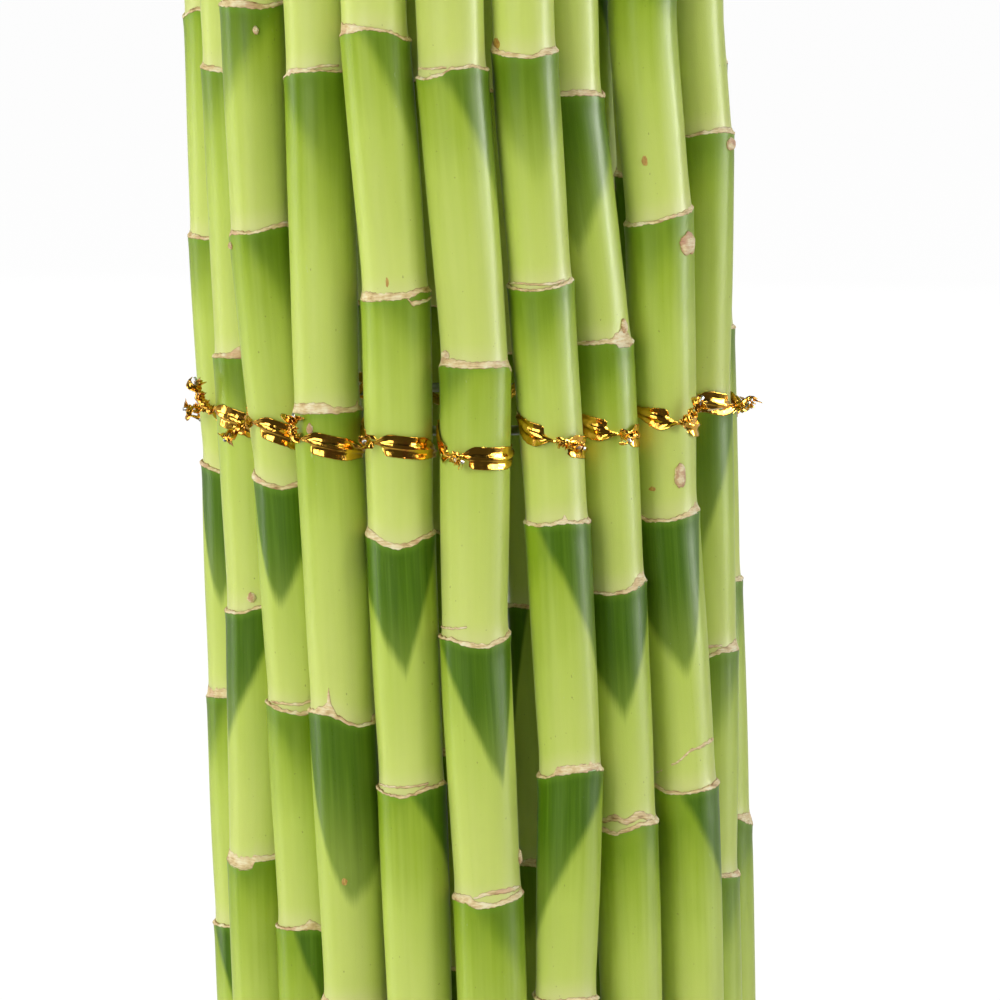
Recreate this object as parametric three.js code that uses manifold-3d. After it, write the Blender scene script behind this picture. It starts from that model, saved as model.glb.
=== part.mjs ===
// Lucky bamboo: twenty cut canes standing in a hollow ring, each one tied to an inner hoop
// with a foil twist tie, with a leafy shoot on every second cane.
// Millimetres, +Z up. The canes stand on their cut feet at z = 0.
import * as THREE from 'three';
import Module from 'manifold-3d';

// ---- Driving dimensions ----
const RING_CENTRE = new THREE.Vector2(0.3, -1);
const BACK_RING_RADIUS = 39.8;
const CROWN_HEIGHT = 254;
const CROWN_STEP = 1.6; // neighbouring canes are cut this much higher or lower
const CANE_SIDES = 10;
const LEAN_PER_MM = -0.035; // the whole ring leans a little to the left as it rises

const RIM_PROUD = 0.35; // the scar at a knuckle stands this much outside the cane
const RIM_BELOW = 1.4; // the flare below the scar
const NECK_ABOVE = 1.6; // the waist above the scar
const NECK_SHRINK = 0.2;
const LOWEST_KNUCKLE = 8;
const CROWN_KNUCKLE_DEPTH = 9; // the cut is made this far above the last knuckle

const HOOP_RADIUS = 32;
const HOOP_WIRE_RADIUS = 0.8;
const HOOP_HEIGHT = 139.5;
const HOOP_SIDES = 6;
const HOOP_SEGMENTS = 36;

const RIBBON_WIDTH = 4;
const RIBBON_THICKNESS = 0.4;
const STRAND_WIDTH = 1.6; // where the ribbon is pinched between two canes
const RIBBON_CLEARANCE = 0.45;
const HOOP_CLEARANCE = 0.35;
const STRAND_RISE = 2.2; // the ribbon passes over the hoop on one side and under it on the other
const PIGTAIL_LENGTH = 7;
const PIGTAIL_RADIUS = 1.1;
const PIGTAIL_SUNK = 0.15; // its root stands this far outside the middle of the ribbon
const PIGTAIL_ROOT_BEARING = THREE.MathUtils.degToRad(50);
const PIGTAIL_BEARING = THREE.MathUtils.degToRad(34);

const SHOOT_HEIGHT = 46;
const SHOOT_RADIUS = 2.6;
const SHOOT_GAP = 0.3;
const BLADE_THICKNESS = 0.7;
const BLADE_FOLD = 0.16; // how far the edges rise above the midrib, for each millimetre of width
const SHOOT_EVERY = 2;

// The eleven canes that face the viewer, from left to right: radius, height of the twist tie, the side
// its pigtail is on (-1 left, 1 right), and each knuckle as height, x and y.
const FRONT_CANES = [
  {
    radius: 5.15, tie: 139.5, side: -1,
    knuckles: [[52, -37, -2], [92, -38.3, -2], [129, -38.8, -2.5], [168, -40.6, -3]],
  },
  {
    radius: 5.15, tie: 139, side: -1,
    knuckles: [[66, -34.3, -14], [108, -34.3, -15], [150, -35.8, -15], [197, -37.4, -15]],
  },
  {
    radius: 5.25, tie: 139, side: -1,
    knuckles: [[56, -25.6, -23], [93, -27.2, -24], [130, -29, -25.5], [171, -32.4, -26]],
  },
  {
    radius: 5.3, tie: 138, side: -1,
    knuckles: [[46, -18, -32], [93, -20.1, -33.5], [143, -22, -35], [197, -23, -34]],
  },
  {
    radius: 5.3, tie: 138.5, side: -1,
    knuckles: [[82, -8.5, -38], [123, -10.2, -39], [162, -10.8, -40], [203, -14, -41]],
  },
  {
    radius: 5.4, tie: 137, side: -1,
    knuckles: [[65, 3.8, -42], [107, 1.6, -42], [151, 1.8, -42], [198, -1.9, -42.5]],
  },
  {
    radius: 5, tie: 139.5, side: 1,
    knuckles: [[48, 16.2, -40], [85, 17, -39.7], [126, 14.8, -39.5], [163, 12.1, -39], [200, 9.5, -40]],
  },
  {
    radius: 5, tie: 140, side: 1,
    knuckles: [[76, 26, -32.5], [114, 24, -32], [154, 21.8, -31.5], [194, 16.8, -30.8]],
  },
  {
    radius: 5.3, tie: 141, side: 1,
    knuckles: [[82, 35.8, -25], [125, 32.4, -24], [173, 31.3, -25]],
  },
  {
    radius: 5.1, tie: 143, side: 1,
    knuckles: [[64, 39.9, -14.5], [101, 39.6, -14], [141, 38.4, -13.5], [186, 38.2, -15]],
  },
  {
    radius: 5, tie: 141, side: 1,
    knuckles: [[71, 42.6, -2.5], [111, 40.8, -2], [153, 39.3, -2]],
  },
];

// The nine canes behind, anticlockwise seen from above: radius, lowest knuckle, length between knuckles,
// height of the twist tie, the side its pigtail is on and how far it stands from its even place, in degrees.
const BACK_CANES = [
  { radius: 5.1, lowest: 30, internode: 42, tie: 139, side: 1 },
  { radius: 5, lowest: 16, internode: 40, tie: 140, side: 1, turn: -0.3 },
  { radius: 5.2, lowest: 44, internode: 43, tie: 138, side: 1 },
  { radius: 5.1, lowest: 10, internode: 45, tie: 138.5, side: 1, turn: 0.5 },
  { radius: 5, lowest: 36, internode: 39, tie: 141.5, side: 1, turn: 1.4 },
  { radius: 5.2, lowest: 22, internode: 44, tie: 136, side: -1, turn: 0.9 },
  { radius: 5.1, lowest: 40, internode: 41, tie: 139, side: -1, turn: 0.4 },
  { radius: 5, lowest: 13, internode: 43, tie: 138, side: -1 },
  { radius: 5.1, lowest: 29, internode: 40, tie: 139.5, side: -1 },
];
const BACK_FIRST_BEARING = THREE.MathUtils.degToRad(111);
const BACK_BEARING_STEP = THREE.MathUtils.degToRad(17.85);

// Each leaf of a shoot: how far up the stem it leaves, its bearing from straight out of the ring,
// its steepness at the root, how far it has drooped by its tip (degrees), its length and its width.
const LEAVES = [
  { at: 0.3, bearing: -19, steep: 44, droop: 62, length: 80, width: 13 },
  { at: 0.42, bearing: 20, steep: 52, droop: 58, length: 86, width: 14 },
  { at: 0.6, bearing: -2, steep: 62, droop: 60, length: 90, width: 14 },
  { at: 0.76, bearing: 180, steep: 76, droop: 24, length: 74, width: 12 },
  { at: 0.94, bearing: 0, steep: 84, droop: 20, length: 62, width: 11 },
];
// How far along the stem, and the share of its full radius there.
const STEM_STATIONS = [[0, 1], [0.12, 1], [0.26, 0.95], [0.6, 0.8], [1, 0.5]];
// How far along a blade, and its half width there as a share of its full width.
const BLADE_STATIONS = [0, 0.25, 0.55, 0.82, 1];
const BLADE_HALF_WIDTHS = [0.1, 0.45, 0.5, 0.29, 0.04];

// ---- Materials ----
const finishes = {
  cane: { color: 0x9ebc4b, roughness: 0.42, metalness: 0 },
  leaf: { color: 0x4d8a30, roughness: 0.4, metalness: 0 },
  foil: { color: 0xd8a02e, roughness: 0.28, metalness: 1 },
  hoop: { color: 0x9d9f92, roughness: 0.35, metalness: 1 },
};
const UP = new THREE.Vector3(0, 0, 1);

function namedMesh(name, geometry, finish) {
  const mesh = new THREE.Mesh(geometry, new THREE.MeshStandardMaterial(finishes[finish]));
  mesh.name = name;
  return mesh;
}

// ---- Solids from rings of points ----
// The points of a ring run anticlockwise round the way the rings follow each other. The two halves of a
// ring are split along the same diagonals, so the two faces of a thin blade lie parallel.
function loft(rings, closed = false) {
  const sides = rings[0].length;
  const index = [];
  const spans = closed ? rings.length : rings.length - 1;
  for (let i = 0; i < spans; i += 1) {
    const start = i * sides;
    const end = ((i + 1) % rings.length) * sides;
    for (let j = 0; j < sides; j += 1) {
      const k = (j + 1) % sides;
      if (j < sides / 2) {
        index.push(start + j, start + k, end + k, start + j, end + k, end + j);
      } else {
        index.push(start + j, start + k, end + j, start + k, end + k, end + j);
      }
    }
  }
  if (!closed) {
    const last = (rings.length - 1) * sides;
    for (let j = 0; j < sides / 2 - 1; j += 1) {
      const [a, b, c, d] = [j, j + 1, sides - 2 - j, sides - 1 - j];
      index.push(a, c, b, a, d, c);
      index.push(last + a, last + b, last + c, last + a, last + c, last + d);
    }
  }
  const geometry = new THREE.BufferGeometry();
  const positions = rings.flat().flatMap((point) => point.toArray());
  geometry.setAttribute('position', new THREE.Float32BufferAttribute(positions, 3));
  geometry.setIndex(index);
  return geometry;
}

function ringAt(centre, side, normal, offsets) {
  return offsets.map(([across, out]) => (
    centre.clone().addScaledVector(side, across).addScaledVector(normal, out)));
}

function circleOffsets(count, across, out = across, turn = 0) {
  return Array.from({ length: count }, (_, i) => {
    const angle = turn + (i / count) * Math.PI * 2;
    return [across * Math.cos(angle), out * Math.sin(angle)];
  });
}

// ---- Joining solids that grow or are twisted together ----
const wasm = await Module();
wasm.setup();

function fuse(geometries) {
  const solids = geometries.map((geometry) => new wasm.Manifold(new wasm.Mesh({
    numProp: 3,
    vertProperties: Float32Array.from(geometry.attributes.position.array),
    triVerts: Uint32Array.from(geometry.index.array),
  })));
  const mesh = solids.reduce((whole, solid) => whole.add(solid)).getMesh();
  const geometry = new THREE.BufferGeometry();
  geometry.setAttribute('position', new THREE.Float32BufferAttribute(mesh.vertProperties, 3));
  geometry.setIndex(Array.from(mesh.triVerts));
  return geometry;
}

// ---- Canes ----
// A cane is straight between knuckles and bends a little at each one.
function completeCane(cane, index) {
  const knuckles = cane.knuckles.map(([height, x, y]) => new THREE.Vector3(x, y, height));
  const crown = CROWN_HEIGHT + ((index * 3) % 5 - 2) * CROWN_STEP;
  const lowest = knuckles[0];
  const highest = knuckles[knuckles.length - 1];
  const internode = (highest.z - lowest.z) / (knuckles.length - 1);
  const leaned = (from, height) => (
    new THREE.Vector3(from.x + LEAN_PER_MM * (height - from.z), from.y, height));

  const below = [];
  for (let height = lowest.z - internode; height > LOWEST_KNUCKLE; height -= internode) {
    below.unshift(leaned(lowest, height));
  }
  const above = [];
  const top = crown - CROWN_KNUCKLE_DEPTH;
  const steps = Math.max(1, Math.round((top - highest.z) / internode));
  for (let i = 1; i <= steps; i += 1) {
    above.push(leaned(highest, highest.z + ((top - highest.z) * i) / steps));
  }
  const all = [...below, ...knuckles, ...above];
  const axis = [leaned(all[0], 0), ...all, leaned(all[all.length - 1], crown)];
  return { ...cane, knuckles: all, axis, crown };
}

function backCane(cane, index) {
  const turn = THREE.MathUtils.degToRad(cane.turn ?? 0);
  const bearing = BACK_FIRST_BEARING + index * BACK_BEARING_STEP + turn;
  const knuckles = [];
  for (let height = cane.lowest; height < CROWN_HEIGHT - cane.internode; height += cane.internode) {
    const lean = LEAN_PER_MM * (height - HOOP_HEIGHT);
    const wander = 0.3 * Math.sin(height + index);
    knuckles.push([
      height,
      RING_CENTRE.x + BACK_RING_RADIUS * Math.sin(bearing) + lean + wander,
      RING_CENTRE.y - BACK_RING_RADIUS * Math.cos(bearing) + wander,
    ]);
  }
  return { ...cane, knuckles };
}

function axisAt(cane, height) {
  const above = Math.max(1, cane.axis.findIndex((point) => point.z >= height));
  const [low, high] = [cane.axis[above - 1], cane.axis[above]];
  return low.clone().lerp(high, (height - low.z) / (high.z - low.z));
}

// The girth that a tie has to clear, with the scar of any knuckle under it.
function girthAtTie(cane) {
  const scarred = cane.knuckles.some((knuckle) => Math.abs(knuckle.z - cane.tie) < RIBBON_WIDTH * 1.5);
  return cane.radius + (scarred ? RIM_PROUD : 0);
}

function outwardAt(point) {
  return new THREE.Vector3(point.x - RING_CENTRE.x, point.y - RING_CENTRE.y, 0).normalize();
}

function caneGeometry(cane) {
  const profile = [new THREE.Vector2(0, 0), new THREE.Vector2(cane.radius, 0)];
  for (const knuckle of cane.knuckles) {
    profile.push(new THREE.Vector2(cane.radius, knuckle.z - RIM_BELOW));
    profile.push(new THREE.Vector2(cane.radius + RIM_PROUD, knuckle.z));
    profile.push(new THREE.Vector2(cane.radius - NECK_SHRINK, knuckle.z + NECK_ABOVE));
  }
  profile.push(new THREE.Vector2(cane.radius - NECK_SHRINK, cane.crown), new THREE.Vector2(0, cane.crown));
  const geometry = new THREE.LatheGeometry(profile, CANE_SIDES);
  geometry.rotateX(Math.PI / 2);
  const position = geometry.attributes.position;
  for (let i = 0; i < position.count; i += 1) {
    const centre = axisAt(cane, position.getZ(i));
    position.setX(i, position.getX(i) + centre.x);
    position.setY(i, position.getY(i) + centre.y);
  }
  return geometry;
}

// ---- Inner hoop ----
function hoopGeometry() {
  const geometry = new THREE.TorusGeometry(HOOP_RADIUS, HOOP_WIRE_RADIUS, HOOP_SIDES, HOOP_SEGMENTS);
  geometry.translate(RING_CENTRE.x, RING_CENTRE.y, HOOP_HEIGHT);
  return geometry;
}

// ---- Twist ties ----
// The ribbon lies flat across the outside of its cane. It is pinched to a strand between the canes, goes
// over the hoop on one side, comes back under it on the other, and ends in a twisted pigtail.
function ribbonLoop(cane) {
  const centre = axisAt(cane, cane.tie);
  const outward = outwardAt(centre);
  const along = UP.clone().cross(outward);
  const reach = girthAtTie(cane) + RIBBON_CLEARANCE + RIBBON_THICKNESS / 2;
  const hoopDepth = Math.hypot(centre.x - RING_CENTRE.x, centre.y - RING_CENTRE.y) - HOOP_RADIUS;
  const inner = hoopDepth + HOOP_WIRE_RADIUS + HOOP_CLEARANCE + RIBBON_THICKNESS / 2;
  const innerHalf = 2.2;
  const tangent = Math.PI - Math.atan2(innerHalf, inner) - Math.acos(reach / Math.hypot(inner, innerHalf));
  const arcSteps = 8;
  const stations = [];
  for (let i = 0; i <= arcSteps; i += 1) {
    const angle = tangent * ((2 * i) / arcSteps - 1);
    const pinch = THREE.MathUtils.smoothstep(Math.abs(angle), Math.PI * 0.3, Math.PI * 0.55);
    stations.push({
      out: reach * Math.cos(angle),
      side: reach * Math.sin(angle),
      facing: angle,
      rise: -Math.sign(angle) * pinch * STRAND_RISE + pinch * (HOOP_HEIGHT - cane.tie),
      width: THREE.MathUtils.lerp(RIBBON_WIDTH, STRAND_WIDTH, pinch),
    });
  }
  for (const sign of [1, -1]) {
    stations.push({
      out: -inner,
      side: sign * innerHalf,
      facing: sign * Math.PI * 0.8,
      rise: -sign * STRAND_RISE + HOOP_HEIGHT - cane.tie,
      width: STRAND_WIDTH,
    });
  }
  return loft(stations.map((station) => {
    const point = centre.clone().addScaledVector(outward, station.out).addScaledVector(along, station.side);
    point.z += station.rise;
    const normal = outward.clone().multiplyScalar(Math.cos(station.facing))
      .addScaledVector(along, Math.sin(station.facing));
    const [high, thick] = [station.width / 2, RIBBON_THICKNESS / 2];
    return ringAt(point, UP, normal, [[high, thick], [-high, thick], [-high, -thick], [high, -thick]]);
  }), true);
}

function pigtail(cane) {
  const centre = axisAt(cane, cane.tie);
  const outward = outwardAt(centre);
  const along = UP.clone().cross(outward).multiplyScalar(cane.side);
  const root = outward.clone().multiplyScalar(Math.cos(PIGTAIL_ROOT_BEARING))
    .addScaledVector(along, Math.sin(PIGTAIL_ROOT_BEARING));
  const direction = outward.clone().multiplyScalar(Math.cos(PIGTAIL_BEARING))
    .addScaledVector(along, Math.sin(PIGTAIL_BEARING)).addScaledVector(UP, -0.35).normalize();
  const side = direction.clone().cross(UP).normalize();
  const normal = direction.clone().cross(side);
  const sunk = girthAtTie(cane) + RIBBON_CLEARANCE + RIBBON_THICKNESS / 2 + PIGTAIL_SUNK;
  const start = centre.clone().addScaledVector(root, sunk);
  const rings = [
    [0, PIGTAIL_RADIUS * 0.8, PIGTAIL_RADIUS * 0.8],
    [0.35, PIGTAIL_RADIUS, PIGTAIL_RADIUS],
    [0.7, PIGTAIL_RADIUS * 0.8, PIGTAIL_RADIUS * 0.8],
    [1, PIGTAIL_RADIUS * 2, PIGTAIL_RADIUS * 0.4],
  ];
  return loft(rings.map(([step, across, out]) => ringAt(
    start.clone().addScaledVector(direction, step * PIGTAIL_LENGTH),
    side,
    normal,
    circleOffsets(6, across, out, step * 2),
  )));
}

// ---- Leafy shoots ----
// A repeatable draw between -1 and 1, so that no two shoots are alike.
let seed = 20;
function vary() {
  seed = (seed * 16807) % 2147483647;
  return (seed / 2147483647) * 2 - 1;
}

// A shoot buds from the outside of the top knuckle, turns up past the cut crown and carries its leaves
// one above another, each clasping the stem at its root.
function shootPath(cane) {
  const bud = cane.knuckles[cane.knuckles.length - 1];
  const outward = outwardAt(bud);
  const seat = cane.radius + RIM_PROUD + SHOOT_GAP;
  const points = [[0, 2], [1.6, 2], [4.4, 5], [5.4, 12], [5.6, 27], [7, SHOOT_HEIGHT]].map(([out, up]) => (
    bud.clone().addScaledVector(outward, seat + out).addScaledVector(UP, up)));
  return { outward, curve: new THREE.CatmullRomCurve3(points) };
}

function shootStem({ outward, curve }) {
  const side = UP.clone().cross(outward);
  return loft(STEM_STATIONS.map(([along, scale]) => {
    const tangent = curve.getTangentAt(along);
    const normal = tangent.clone().cross(side).normalize();
    return ringAt(curve.getPointAt(along), side, normal, circleOffsets(6, scale * SHOOT_RADIUS));
  }));
}

function bladeGeometry({ outward, curve }, leaf) {
  const bearing = THREE.MathUtils.degToRad(leaf.bearing);
  const heading = outward.clone().applyAxisAngle(UP, bearing);
  const point = curve.getPointAt(leaf.at).addScaledVector(heading, -SHOOT_RADIUS * 0.5);
  const side = UP.clone().cross(heading);
  const rings = [];
  let reached = 0;
  BLADE_STATIONS.forEach((station, i) => {
    const middle = THREE.MathUtils.degToRad(leaf.steep - leaf.droop * (reached + station) * 0.5);
    const step = (station - reached) * leaf.length;
    point.addScaledVector(heading, Math.cos(middle) * step).addScaledVector(UP, Math.sin(middle) * step);
    reached = station;
    const slope = THREE.MathUtils.degToRad(leaf.steep - leaf.droop * station);
    const normal = heading.clone().multiplyScalar(-Math.sin(slope)).addScaledVector(UP, Math.cos(slope));
    const half = BLADE_HALF_WIDTHS[i] * leaf.width;
    const fold = half * 2 * BLADE_FOLD;
    rings.push(ringAt(point, side, normal, [
      [-half, fold - BLADE_THICKNESS], [0, -BLADE_THICKNESS], [half, fold - BLADE_THICKNESS],
      [half, fold], [0, 0], [-half, fold],
    ]));
  });
  return loft(rings);
}

function shootGeometry(cane) {
  const path = shootPath(cane);
  const blades = LEAVES.map((leaf) => bladeGeometry(path, {
    ...leaf,
    bearing: leaf.bearing + 4 * vary(),
    steep: leaf.steep + 6 * vary(),
    droop: leaf.droop + 10 * vary(),
    length: leaf.length * (0.95 + 0.12 * vary()),
  }));
  return fuse([shootStem(path), ...blades]);
}

// ---- The bundle ----
const canes = [...FRONT_CANES, ...BACK_CANES.map(backCane)].map(completeCane);
const bundle = new THREE.Group();
canes.forEach((cane, index) => {
  const number = String(index + 1).padStart(2, '0');
  bundle.add(namedMesh(`cane_${number}`, caneGeometry(cane), 'cane'));
  bundle.add(namedMesh(`twist_tie_${number}`, fuse([ribbonLoop(cane), pigtail(cane)]), 'foil'));
  if (index % SHOOT_EVERY === 0) {
    bundle.add(namedMesh(`leafy_shoot_${number}`, shootGeometry(cane), 'leaf'));
  }
});
bundle.add(namedMesh('inner_hoop', hoopGeometry(), 'hoop'));

// The origin is under the middle of the whole bundle.
const middle = new THREE.Box3().setFromObject(bundle).getCenter(new THREE.Vector3());
bundle.position.set(-middle.x, -middle.y, 0);

export default bundle;
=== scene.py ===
import bmesh
import bpy
import math
import random
from mathutils import Matrix, Vector, noise


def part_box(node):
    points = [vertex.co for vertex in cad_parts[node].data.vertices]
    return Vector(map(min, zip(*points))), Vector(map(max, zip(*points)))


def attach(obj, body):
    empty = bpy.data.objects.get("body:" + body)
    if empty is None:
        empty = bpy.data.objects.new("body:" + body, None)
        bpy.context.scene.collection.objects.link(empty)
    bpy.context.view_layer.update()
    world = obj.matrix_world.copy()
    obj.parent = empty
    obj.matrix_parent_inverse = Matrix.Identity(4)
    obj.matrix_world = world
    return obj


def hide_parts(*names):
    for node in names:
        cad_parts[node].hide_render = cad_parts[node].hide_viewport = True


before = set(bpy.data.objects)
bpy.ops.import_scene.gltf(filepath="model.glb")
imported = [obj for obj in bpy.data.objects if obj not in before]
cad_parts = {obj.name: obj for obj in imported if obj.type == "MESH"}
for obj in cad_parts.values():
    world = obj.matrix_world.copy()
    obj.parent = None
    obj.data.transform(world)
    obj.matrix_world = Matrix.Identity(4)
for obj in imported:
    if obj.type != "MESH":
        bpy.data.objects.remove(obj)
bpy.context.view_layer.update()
scene = bpy.context.scene
MM = 0.001

# ---- Camera ----
# The photograph's view: close up, seven and a half degrees above level, along +Y.
# It is aimed a little under and to the right of the middle of the hoop that holds the canes.
hoop_low, hoop_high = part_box("inner_hoop")
hoop_middle = (hoop_low + hoop_high) / 2
aim = hoop_middle + Vector((5.37, 1.0, -15.5)) * MM
camera_rise = math.radians(7.5)
camera_data = bpy.data.cameras.new("camera")
camera_data.sensor_width = 36
camera_data.lens = 194.4
camera_data.clip_start = 0.05
camera_data.clip_end = 60
camera = bpy.data.objects.new("camera", camera_data)
camera.location = aim + Vector((0, -math.cos(camera_rise), math.sin(camera_rise))) * 0.9
camera.rotation_euler = (math.pi / 2 - camera_rise, 0, 0)
scene.collection.objects.link(camera)
scene.camera = camera

# ---- Studio ----
# A wide white floor that runs out of sight, and the white room of a product studio around it.
# The room is dark only behind the photographer, which gives the foil its brown reflections.
scene.view_settings.view_transform = "Standard"


def new_material(name):
    """An empty material with its shader, ready for nodes."""
    material = bpy.data.materials.new(name)
    material.use_nodes = True
    return material, material.node_tree.nodes, material.node_tree.links


def node_maker(owner):
    """Short calls for adding nodes to one material or world."""
    nodes, links = owner.node_tree.nodes, owner.node_tree.links

    def plug(value, socket):
        """Links an output to a socket, or sets the socket to a plain value."""
        if isinstance(value, bpy.types.NodeSocket):
            links.new(value, socket)
        else:
            socket.default_value = value

    def math_node(operation, first, second=0.0, third=0.0):
        node = nodes.new("ShaderNodeMath")
        node.operation = operation
        for value, socket in zip((first, second, third), node.inputs):
            plug(value, socket)
        return node.outputs[0]

    def ranged(value, low, high, to_low=0.0, to_high=1.0, smooth=True):
        """A value moved from one range to another, and kept within it."""
        node = nodes.new("ShaderNodeMapRange")
        node.interpolation_type = "SMOOTHSTEP" if smooth else "LINEAR"
        for item, socket in zip((value, low, high, to_low, to_high), node.inputs):
            plug(item, socket)
        return node.outputs[0]

    def mixed(factor, first, second):
        """Two colours mixed by a factor."""
        node = nodes.new("ShaderNodeMix")
        node.data_type = "RGBA"
        plug(factor, node.inputs[0])
        plug(first, node.inputs[6])
        plug(second, node.inputs[7])
        return node.outputs[2]

    def read(name, vector=False):
        """What the mesh carries under a name."""
        node = nodes.new("ShaderNodeAttribute")
        node.attribute_name = name
        return node.outputs["Vector" if vector else "Fac"]

    def grain(vector, scale, detail=2.0, stretch=(1, 1, 1), shift=(0, 0, 0), rough=0.5):
        """Noise over a place that is first stretched and shifted."""
        mapping = nodes.new("ShaderNodeMapping")
        mapping.inputs["Scale"].default_value = stretch
        mapping.inputs["Location"].default_value = shift
        links.new(vector, mapping.inputs["Vector"])
        node = nodes.new("ShaderNodeTexNoise")
        node.inputs["Scale"].default_value = scale
        node.inputs["Detail"].default_value = detail
        node.inputs["Roughness"].default_value = rough
        links.new(mapping.outputs[0], node.inputs["Vector"])
        return node.outputs["Fac"]

    def ramped(value, stops):
        """A value turned into a colour by (position, colour) stops."""
        node = nodes.new("ShaderNodeValToRGB")
        while len(node.color_ramp.elements) < len(stops):
            node.color_ramp.elements.new(0.5)
        for element, (position, colour) in zip(node.color_ramp.elements, stops):
            element.position = position
            element.color = (*colour, 1)
        plug(value, node.inputs[0])
        return node.outputs[0]

    def bumped(height, strength, distance, under=None):
        """The normal of a bump, which may lie on another bump."""
        node = nodes.new("ShaderNodeBump")
        node.inputs["Strength"].default_value = strength
        node.inputs["Distance"].default_value = distance
        links.new(height, node.inputs["Height"])
        if under is not None:
            links.new(under, node.inputs["Normal"])
        return node.outputs[0]

    def paint(values):
        """Fills the inputs of the material's shader, by name."""
        for name, value in values.items():
            plug(value, nodes["Principled BSDF"].inputs[name])

    return math_node, ranged, mixed, read, grain, ramped, bumped, paint


floor_bm = bmesh.new()
bmesh.ops.create_circle(floor_bm, cap_ends=True, segments=96, radius=11)
floor_mesh = bpy.data.meshes.new("floor")
floor_bm.to_mesh(floor_mesh)
floor_bm.free()
floor = bpy.data.objects.new("floor", floor_mesh)
scene.collection.objects.link(floor)
floor_paint, nodes, links = new_material("white_floor")
calc, ranged, mixed, read, grain, ramped, bumped, paint = node_maker(floor_paint)
paint({"Base Color": (0.85, 0.85, 0.85, 1), "Roughness": 0.9})
lit_paper = nodes.new("ShaderNodeEmission")
lit_paper.inputs["Strength"].default_value = 1.05
seen = nodes.new("ShaderNodeLightPath")
paper = nodes.new("ShaderNodeMixShader")
links.new(calc("MULTIPLY", seen.outputs["Is Camera Ray"], 0.93), paper.inputs[0])
links.new(nodes["Principled BSDF"].outputs[0], paper.inputs[1])
links.new(lit_paper.outputs[0], paper.inputs[2])
links.new(paper.outputs[0], nodes["Material Output"].inputs["Surface"])
floor_mesh.materials.append(floor_paint)
floor.visible_glossy = False

world = bpy.data.worlds.new("studio")
scene.world = world
world.use_nodes = True
nodes, links = world.node_tree.nodes, world.node_tree.links
nodes.clear()
calc, ranged, mixed, read, grain, ramped, bumped, paint = node_maker(world)
towards = nodes.new("ShaderNodeSeparateXYZ")
links.new(nodes.new("ShaderNodeTexCoord").outputs["Generated"], towards.inputs[0])
walls = ramped(calc("MULTIPLY_ADD", towards.outputs["Y"], 0.5, 0.5), [
    (0.27, (0.03, 0.028, 0.02)), (0.56, (0.29, 0.29, 0.29)),
])
ceiling = ranged(towards.outputs["Z"], 0.35, 0.75, 1.0, 0.2, smooth=False)
seen = nodes.new("ShaderNodeLightPath")
gloss = calc("MULTIPLY_ADD", seen.outputs["Is Glossy Ray"], 1.5, 0.5)
room = nodes.new("ShaderNodeBackground")
links.new(walls, room.inputs["Color"])
links.new(calc("MULTIPLY", ceiling, gloss), room.inputs["Strength"])
backdrop = nodes.new("ShaderNodeBackground")
backdrop.inputs["Color"].default_value = (1, 1, 1, 1)
choose = nodes.new("ShaderNodeMixShader")
links.new(seen.outputs["Is Camera Ray"], choose.inputs[0])
links.new(room.outputs[0], choose.inputs[1])
links.new(backdrop.outputs[0], choose.inputs[2])
out = nodes.new("ShaderNodeOutputWorld")
links.new(choose.outputs[0], out.inputs["Surface"])


def soft_box(name, bearing, rise, distance, width, height, power, diffuse=True, glossy=True):
    """A studio soft box at a bearing from the camera's side (positive to the right), facing the hoop."""
    light = bpy.data.lights.new(name, "AREA")
    light.shape = "RECTANGLE"
    light.size, light.size_y = width, height
    light.energy = power
    lamp = bpy.data.objects.new(name, light)
    lamp.visible_diffuse, lamp.visible_glossy = diffuse, glossy
    turn, lift = math.radians(bearing), math.radians(rise)
    away = Vector((math.sin(turn) * math.cos(lift), -math.cos(turn) * math.cos(lift), math.sin(lift)))
    lamp.location = hoop_middle + away * distance
    lamp.rotation_euler = away.to_track_quat("Z", "Y").to_euler()
    scene.collection.objects.link(lamp)


soft_box("soft_box_left", -38, 20, 1.6, 0.85, 1.2, 15.8)
soft_box("soft_box_right", 60, 22, 1.6, 0.5, 1.0, 9)
soft_box("broad_light_right", 80, 24, 1.4, 0.9, 1.5, 21, diffuse=False)
soft_box("strip_light_right", 90, 22, 1.3, 0.34, 1.3, 25, diffuse=False)
soft_box("soft_box_over", 0, 86, 1.5, 1.1, 1.1, 10, glossy=False)
soft_box("strip_light_left", -100, 5, 1.4, 0.3, 1.7, 10)
soft_box("soft_box_behind", 170, 22, 1.6, 1.2, 1.2, 9, glossy=False)

# ---- Canes ----
# Cut stems of a dracaena, grown, not made: smooth satin skin, pale where a leaf sheath covered it and dark
# green in a wedge under each knuckle where it did not. Each knuckle keeps the torn tan scar of its leaf.
CANE_COLUMNS = 96
SCAR_COLUMNS = 160
# How far the skin stands out from the CAD cane, in mm: a lip over each scar that fades within LIP_LENGTH, a
# narrow neck, a slow swell from there up, and over the last FLARE_LENGTH a flare to the rim under a scar.
LIP = 0.3
LIP_LENGTH = 1.6
NECK = 0.24
SWELL = 0.26
FLARE_LENGTH = 3.4
RIM = 0.36
# The skin's crest lies this far over a scar's underside.
CREST = 0.12
# A cane's middle line has this many points to a mm.
AXIS_STEPS = 4
# The grain of each cane is taken this far from the last one's, so that no two look alike.
GRAIN_STEP = 300
# What a skin point reads as its distance to a scar when there is none on that side.
FAR = 60
# The materials of a cane, in their order.
SKIN, SCAR, PITH, SPOT = range(4)

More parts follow.
